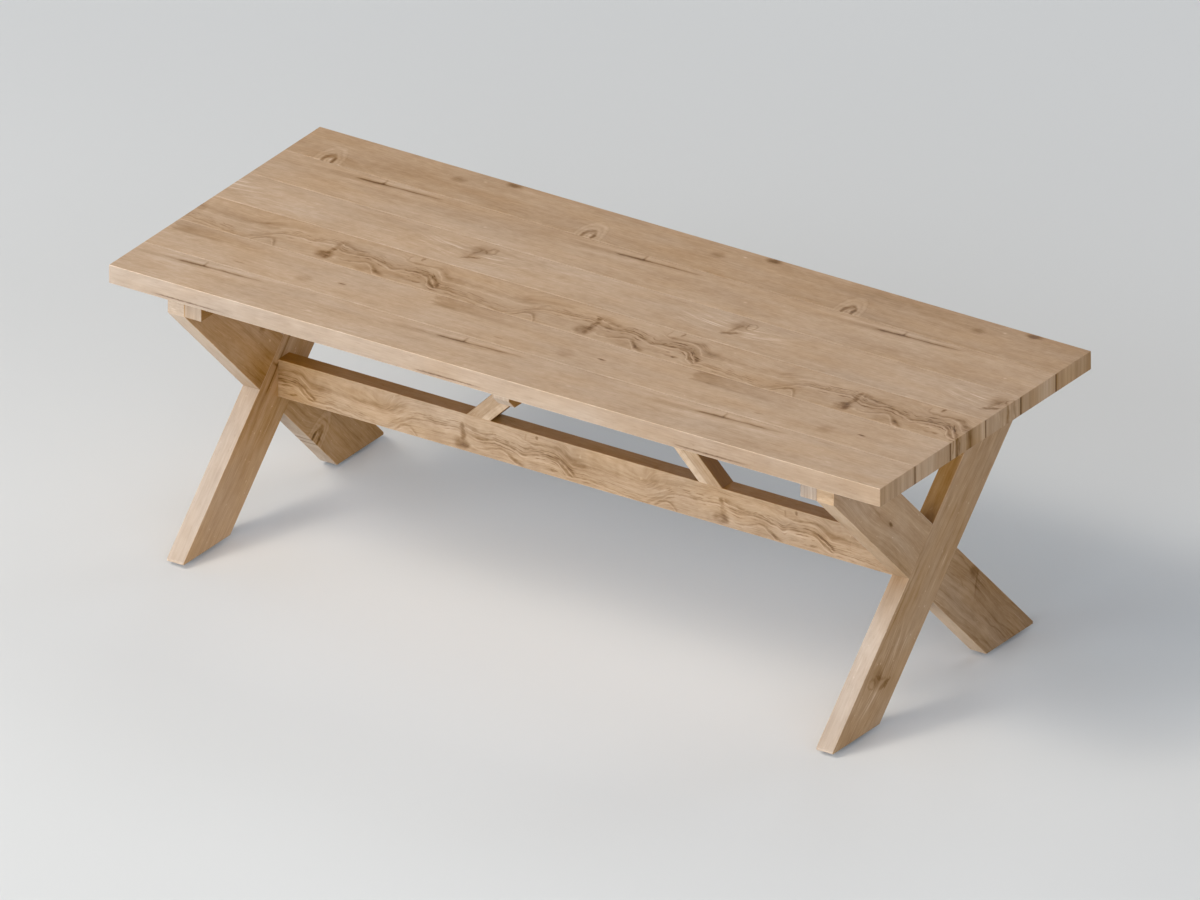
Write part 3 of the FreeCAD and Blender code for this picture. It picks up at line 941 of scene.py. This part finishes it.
# Painted shade on the left legs by the crossing.
crossing_shade = (left_back.x - 0.085).hump(0.07)
deepen(left_back, crossing_shade, 0.10, 0.06)
upper_face_shade = left_front.x.fade(-0.10, -0.36) * left_front.narrow.keeping(0.0)
deepen(left_front, upper_face_shade, 0.13, 0.08)
# Painted light on the narrow faces of the right back leg below the crossing.
below_crossing_light = right_back.x.fade(-0.10, 0.0) * right_back.narrow
right_back.pale.append(below_crossing_light * 0.27)

# %% Finish of the legs
# The narrow faces get painted sheen, greyer, and on three legs painted shade, darker.
finish_board(right_front, 0.59, 1.23, edge_shade_tone=-0.11, edge_sheen_grey=0.51, streaky=2.6, flecks=3.6)
finish_board(right_back, 0.55, 1.19, edge_shade_tone=-0.12, edge_sheen_grey=0.15, streaky=3.0, flecks=2.6,
             sway=0.06, drift=0.24)
finish_board(left_front, 0.645, 1.27, edge_shade_tone=-0.145, edge_sheen_grey=0.58, streaky=2.4, flecks=3.2)
finish_board(left_back, 0.535, 1.34, edge_shade_tone=0.04, edge_sheen_grey=0.49, streaky=2.4, flecks=2.0,
             sway=0.03, drift=0.11)
print("legs finished:", [leg.name for leg in (right_front, right_back, left_front, left_back)])

# %% [markdown]
# ## Stretcher, battens and braces
# The stretcher stands on edge between the crossings and carries the burl, squeezed to its smaller width.
# It gets painted shade beside the left trestle and on its narrow faces, darker and deeper in colour there.
# The battens run across under the planks, and the braces lean from the stretcher up to the middle batten.
# Each has its own directions, so that its grain runs along it and not along the table.

# %% Stretcher
on_edge = Matrix(((1, 0, 0), (0, 0, 1), (0, -1, 0))).transposed()
stretcher_half_width = 0.049

stretcher = board_of("stretcher", on_edge, stretcher_half_width, 21)
burl(stretcher, -0.379, squeeze=1.53, strength=0.70)
# Painted shade beside the left trestle: darker and deeper in colour.
trestle_shade = stretcher.x.fade(-0.90, -0.70)
deepen(stretcher, trestle_shade, 0.07, 0.15)
# Painted shade on the narrow faces: darker and deeper in colour.
finish_board(stretcher, 0.465, 1.02, edge_shade_tone=-0.095, edge_sheen_grey=-0.36, drift=-0.06)
print("stretcher finished")

# %% Battens and braces
cross_table = Matrix(((0, 1, 0), (-1, 0, 0), (0, 0, 1))).transposed()
brace_up_left = Matrix(((-run, 0, rise), (rise, 0, run), (0, 1, 0))).transposed()
brace_up_right = Matrix(((run, 0, rise), (-rise, 0, run), (0, -1, 0))).transposed()
square_half_width = 0.024
batten_ends = (
    ("end_batten_left", 0.0, -0.10),
    ("end_batten_right", 0.10, -0.22),
    ("centre_batten", 0.0, -0.10),
)
brace_tones = (
    ("brace_left", brace_up_right, 0.41),
    ("brace_right", brace_up_left, 0.47),
)

# The narrow faces of the battens and braces get painted shade: darker and deeper in colour.
for seed, (name, end_dark, end_colour) in enumerate(batten_ends, 31):
    batten = board_of(name, cross_table, square_half_width, seed)
    deepen(batten, batten.end, end_dark, end_colour)
    finish_board(batten, 0.47, 0.84, edge_shade_tone=-0.12, edge_sheen_grey=-0.55, end_figure=0.35)
for seed, (name, turn, tone) in enumerate(brace_tones, 41):
    brace = board_of(name, turn, square_half_width, seed)
    finish_board(brace, tone, 1.03, edge_shade_tone=-0.20, edge_sheen_grey=-0.40)
print("battens and braces finished:", len(batten_ends), "and", len(brace_tones))

# %% [markdown]
# ## Dowels, screws and glides
# The fittings are small and mostly hidden, but each has its own finish. The dowels are turned from a paler,
# even wood with short dark flecks. The screws are zinc-plated steel with fine turning marks.
# The glides are moulded plastic with a grainy surface. One stretched noise is enough for things this small,
# so the same helper makes all three.

# %% Fittings
fitting_bump = 0.4


def fitting_finish(name, tones, stretch, roughness, rough_swing, bump_height, metallic=0.0):
    """A material for small fittings: one stretched noise for its colour, sheen and surface."""
    material = bpy.data.materials.new(name)
    material.use_nodes = True
    tree = material.node_tree
    shader = tree.nodes["Principled BSDF"]
    place = put(tree, "ShaderNodeTexCoord")
    parts = put(tree, "ShaderNodeSeparateXYZ", {0: place.outputs["Object"]})
    x, y, z = (Amount(tree, part) for part in parts.outputs)
    marks = noise(x, y, z, stretch, 3.0, 0.6)
    colour = colour_ramp(tree, marks + 0.5, tones)
    feed(tree, shader.inputs["Base Color"], colour.outputs[0])
    feed(tree, shader.inputs["Roughness"], marks * rough_swing + roughness)
    shader.inputs["Metallic"].default_value = metallic
    bump = put(tree, "ShaderNodeBump", {"Height": marks, "Strength": fitting_bump, "Distance": bump_height})
    feed(tree, shader.inputs["Normal"], bump.outputs[0])
    return material


dowel_tones = ((0.30, (0.42, 0.28, 0.16)), (0.45, (0.60, 0.45, 0.29)), (0.70, (0.68, 0.54, 0.38)))
screw_tones = ((0.25, (0.38, 0.38, 0.39)), (0.50, (0.60, 0.60, 0.58)), (0.75, (0.72, 0.71, 0.67)))
glide_tones = ((0.25, (0.16, 0.14, 0.12)), (0.50, (0.22, 0.20, 0.17)), (0.75, (0.30, 0.27, 0.24)))
dowel_wood = fitting_finish("turned dowel wood", dowel_tones, (160.0, 160.0, 700.0), 0.6, 0.2, 0.0002)
screw_steel = fitting_finish("zinc-plated steel", screw_tones, (300.0, 300.0, 2600.0), 0.34, 0.3, 0.00005,
                             metallic=1.0)
glide_plastic = fitting_finish("moulded glide plastic", glide_tones, (900.0, 900.0, 900.0), 0.55, 0.3, 0.0002)

# %% Fittings get their finish
fitting_count = 0
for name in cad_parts:
    if name.startswith("foot_glide"):
        dress(name, glide_plastic)
    elif name.endswith("screws"):
        dress(name, screw_steel)
    elif name.endswith("dowels"):
        dress(name, dowel_wood)
    else:
        continue
    fitting_count += 1
print("fittings finished:", fitting_count)
